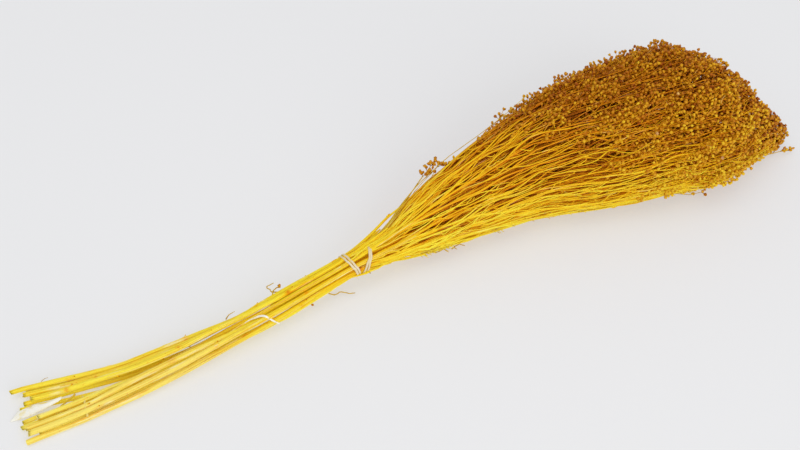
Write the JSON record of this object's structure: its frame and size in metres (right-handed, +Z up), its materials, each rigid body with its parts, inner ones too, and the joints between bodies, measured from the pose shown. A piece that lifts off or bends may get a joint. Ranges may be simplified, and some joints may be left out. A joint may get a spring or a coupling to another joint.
{
  "type": "bunch of preserved broom bloom",
  "caption": "Long tied bunch of dyed dried broom bloom lying flat, with bare stems fanned at one end and a broad budded head at the other.",
  "frame": {"origin": "centre of the underside of the whole bunch, on the table that it lies on", "axes": "+X along the bunch from its cut ends to the tip of its head, +Y across it, +Z up"},
  "size_m": [0.6192, 0.1291, 0.0923],
  "materials": {
    "dyed_stem": "matt, dyed yellow",
    "dyed_buds": "matt, dyed ochre",
    "rubber": "plain natural rubber",
    "bare_wood": "undyed, matt"
  },
  "bodies": {
    "root": {"stem_01": "dyed_stem", "stem_02": "dyed_stem", "stem_03": "dyed_stem", "stem_04": "dyed_stem", "stem_05": "dyed_stem", "stem_06": "dyed_stem", "stem_07": "dyed_stem", "stem_08": "dyed_stem", "stem_09": "dyed_stem", "stem_10": "dyed_stem", "stem_11": "dyed_stem", "stem_12": "dyed_stem", "stem_13": "dyed_stem", "stem_14": "dyed_stem", "stem_15": "dyed_stem", "stem_16": "dyed_stem", "branch_01a": "dyed_buds", "branch_01b": "dyed_buds", "branch_01c": "dyed_buds", "branch_02a": "dyed_buds", "branch_02b": "dyed_buds", "branch_03a": "dyed_buds", "branch_03b": "dyed_buds", "branch_03c": "dyed_buds", "branch_04a": "dyed_buds", "branch_04b": "dyed_buds", "branch_05a": "dyed_buds", "branch_05b": "dyed_buds", "branch_05c": "dyed_buds", "branch_06a": "dyed_buds", "branch_06b": "dyed_buds", "branch_07a": "dyed_buds", "branch_07b": "dyed_buds", "branch_07c": "dyed_buds", "branch_08a": "dyed_buds", "branch_08b": "dyed_buds", "branch_09a": "dyed_buds", "branch_09b": "dyed_buds", "branch_09c": "dyed_buds", "branch_10a": "dyed_buds", "branch_10b": "dyed_buds", "branch_11a": "dyed_buds", "branch_11b": "dyed_buds", "branch_11c": "dyed_buds", "branch_12a": "dyed_buds", "branch_12b": "dyed_buds", "branch_13a": "dyed_buds", "branch_13b": "dyed_buds", "branch_13c": "dyed_buds", "branch_14a": "dyed_buds", "branch_14b": "dyed_buds", "branch_15a": "dyed_buds", "branch_15b": "dyed_buds", "branch_15c": "dyed_buds", "branch_16a": "dyed_buds", "branch_16b": "dyed_buds", "rubber_band": "rubber", "bark_strip": "bare_wood", "peeled_strip": "bare_wood"}
  },
  "joints": []
}
